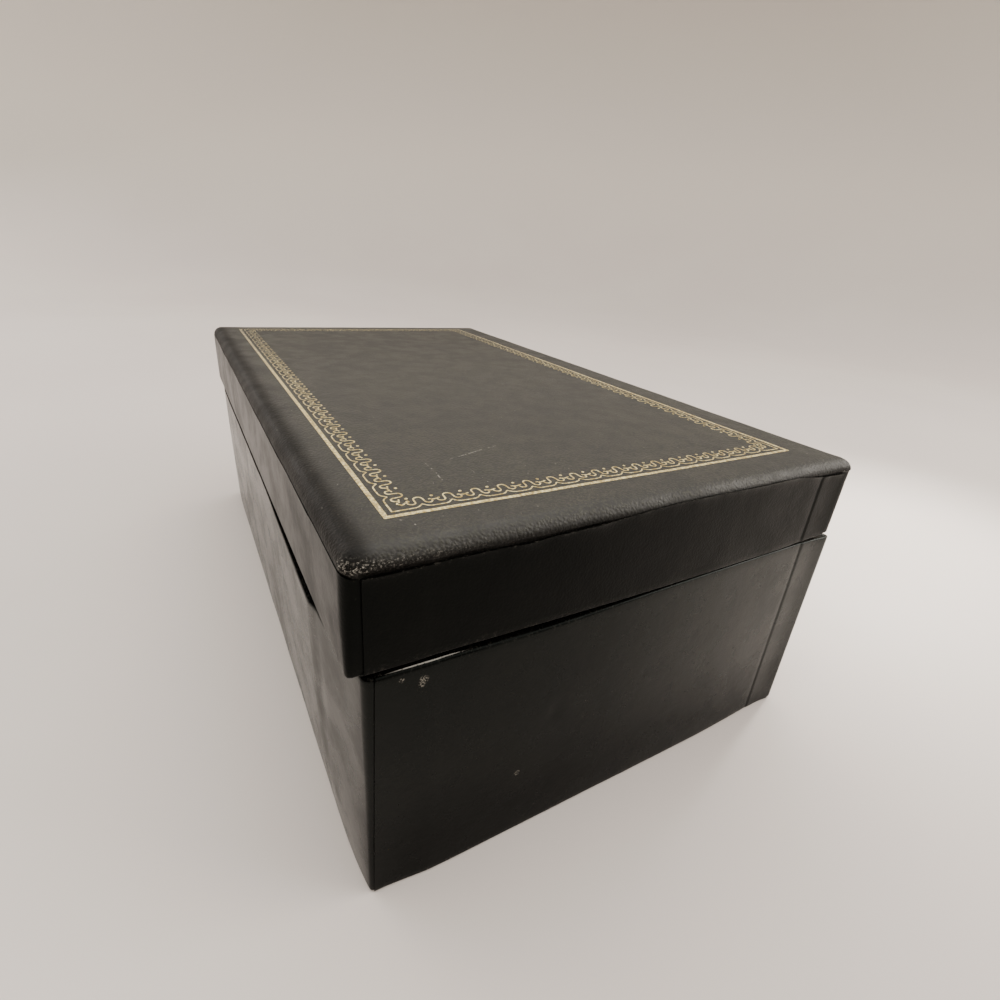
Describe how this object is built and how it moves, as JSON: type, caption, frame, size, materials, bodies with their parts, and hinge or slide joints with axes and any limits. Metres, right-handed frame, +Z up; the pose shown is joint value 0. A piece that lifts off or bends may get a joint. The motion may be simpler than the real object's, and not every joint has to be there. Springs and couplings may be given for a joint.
{
  "type": "collar box",
  "caption": "Rectangular hinged collar box: board walls under black leathercloth, a padded lid with a gilt tooled border, a cloth hinge and a paper lining.",
  "frame": {"origin": "under the middle of the whole box, on the surface that it stands on", "axes": "+X along the long sides, -Y the front, +Y the hinged back, +Z up"},
  "size_m": [0.298, 0.1828, 0.1131],
  "materials": {
    "leathercloth": "black pebbled leathercloth, satin, worn at the edges",
    "greyboard": "plain grey pulp board",
    "lining_paper": "ivory ribbed lining paper on card",
    "base_paper": "black embossed paper",
    "wadding": "cotton wadding",
    "hinge_cloth": "black book cloth",
    "gold_leaf": "tooled gold leaf, slightly rubbed"
  },
  "bodies": {
    "body": {"back_board": "greyboard", "back_cover": "leathercloth", "back_lining": "lining_paper", "base_board": "greyboard", "base_filler": "greyboard", "base_paper": "base_paper", "floor_lining": "lining_paper", "front_board": "greyboard", "front_cover": "leathercloth", "front_lining": "lining_paper", "hinge_body_leaf": "hinge_cloth", "left_board": "greyboard", "left_end_panel": "leathercloth", "left_lining": "lining_paper", "right_board": "greyboard", "right_end_panel": "leathercloth", "right_lining": "lining_paper"},
    "lid": {"gilt_line": "gold_leaf", "gilt_scallops": "gold_leaf", "gilt_scroll": "gold_leaf", "hinge_lid_leaf": "hinge_cloth", "lid_back_board": "greyboard", "lid_back_cover": "leathercloth", "lid_back_lining": "lining_paper", "lid_front_board": "greyboard", "lid_front_cover": "leathercloth", "lid_front_lining": "lining_paper", "lid_left_board": "greyboard", "lid_left_end_panel": "leathercloth", "lid_left_lining": "lining_paper", "lid_right_board": "greyboard", "lid_right_end_panel": "leathercloth", "lid_right_lining": "lining_paper", "lid_top_board": "greyboard", "lid_top_cover": "leathercloth", "lid_top_lining": "lining_paper", "lid_wadding": "wadding"}
  },
  "joints": [
    {"name": "lid_hinge", "type": "hinge", "parent": "body", "child": "lid", "pos_m": [0, 0.09125, 0.0813], "axis": [-1, 0, 0], "range_deg": [0, 180]}
  ]
}
